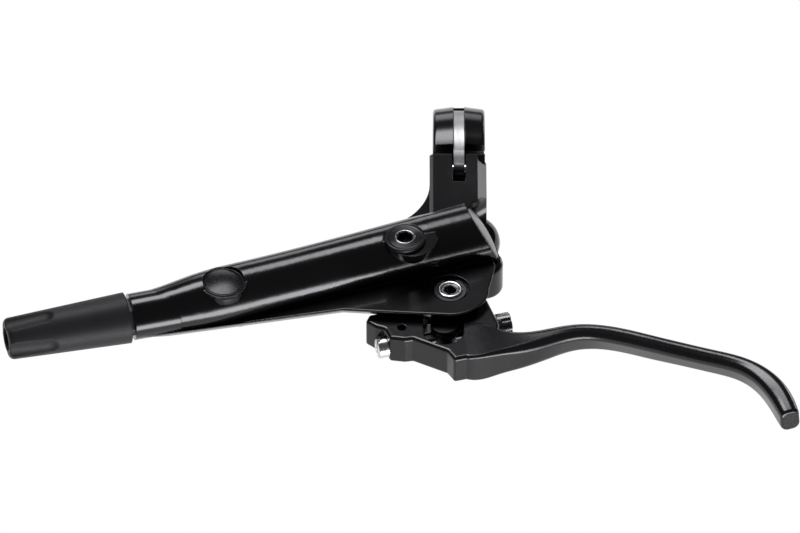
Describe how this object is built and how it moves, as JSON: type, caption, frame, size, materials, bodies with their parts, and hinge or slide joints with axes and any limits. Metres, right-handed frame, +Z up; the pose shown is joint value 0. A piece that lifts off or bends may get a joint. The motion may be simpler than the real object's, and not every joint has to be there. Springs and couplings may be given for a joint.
{
  "type": "bicycle brake lever",
  "caption": "Hydraulic disc-brake lever with a slanted reservoir tube, a hooked blade, a reach screw and a hinged handlebar clamp; pulling the blade drives the piston.",
  "frame": {"origin": "on the handlebar's axis at the middle of the clamp's width", "axes": "+X along the handlebar towards the blade's tip, +Y from the lever to the handlebar, +Z up along the lever's pivot"},
  "size_m": [0.1753, 0.1045, 0.0381],
  "materials": {
    "body_black": "semi-gloss black paint",
    "lever_black": "satin black anodised",
    "sleeve_rubber": "matte dark grey",
    "seal_rubber": "matte black",
    "bright_steel": "polished",
    "dark_steel": "dark satin",
    "cap_grey": "satin grey",
    "piston_alloy": "machined",
    "bearing_bronze": "turned"
  },
  "bodies": {
    "housing": {"master_cylinder_body": "body_black", "reservoir_end_cap": "cap_grey", "reservoir_bladder": "seal_rubber", "bleed_screw": "dark_steel", "bleed_o_ring": "seal_rubber", "reservoir_plug": "body_black", "hose_sleeve": "sleeve_rubber", "hose_nut": "dark_steel", "hose_olive": "bearing_bronze", "lever_axle": "bright_steel", "axle_clip": "dark_steel", "piston_circlip": "dark_steel", "piston_stop_washer": "dark_steel", "return_spring": "bright_steel", "clamp_hinge_pin": "bright_steel"},
    "piston": {"piston": "piston_alloy", "primary_cup": "seal_rubber", "secondary_cup": "seal_rubber", "push_rod": "bright_steel"},
    "link": {"push_link": "dark_steel", "link_bush": "bearing_bronze", "reach_barrel_nut": "dark_steel"},
    "blade": {"lever_blade": "lever_black", "upper_bush": "bearing_bronze", "lower_bush": "bearing_bronze"},
    "reach_screw": {"reach_adjust_screw": "bright_steel"},
    "clamp": {"clamp_band": "body_black", "clamp_strap": "bright_steel", "clamp_bolt": "dark_steel", "clamp_bolt_washer": "dark_steel"}
  },
  "joints": [
    {"name": "lever_pull", "type": "hinge", "parent": "housing", "child": "link", "pos_m": [-0.0021, -0.0455, 0], "axis": [0, 0, 1], "range_deg": [0, 20], "stiffness_Nm_per_rad": 0.8, "springref_deg": -11.46},
    {"name": "reach_swing", "type": "hinge", "parent": "link", "child": "blade", "pos_m": [-0.0021, -0.0455, 0], "axis": [0, 0, 1], "range_deg": [-2, 2]},
    {"name": "reach_turn", "type": "hinge", "parent": "blade", "child": "reach_screw", "pos_m": [-0.0033, -0.0536, -0.0008], "axis": [0.9613, 0.2756, 0], "range_deg": [-190, 190]},
    {"name": "piston_stroke", "type": "slide", "parent": "housing", "child": "piston", "axis": [-0.9397, -0.342, 0], "range_m": [0, 0.0067], "deforming": ["return_spring"]},
    {"name": "clamp_open", "type": "hinge", "parent": "housing", "child": "clamp", "pos_m": [0, -0.00933, 0.00933], "axis": [1, 0, 0], "range_deg": [0, 70]}
  ],
  "couplings": [
    {"joint": "piston_stroke", "follows": "lever_pull", "m_per_rad": 0.018933},
    {"joint": "reach_turn", "follows": "reach_swing", "ratio": 93.688}
  ]
}
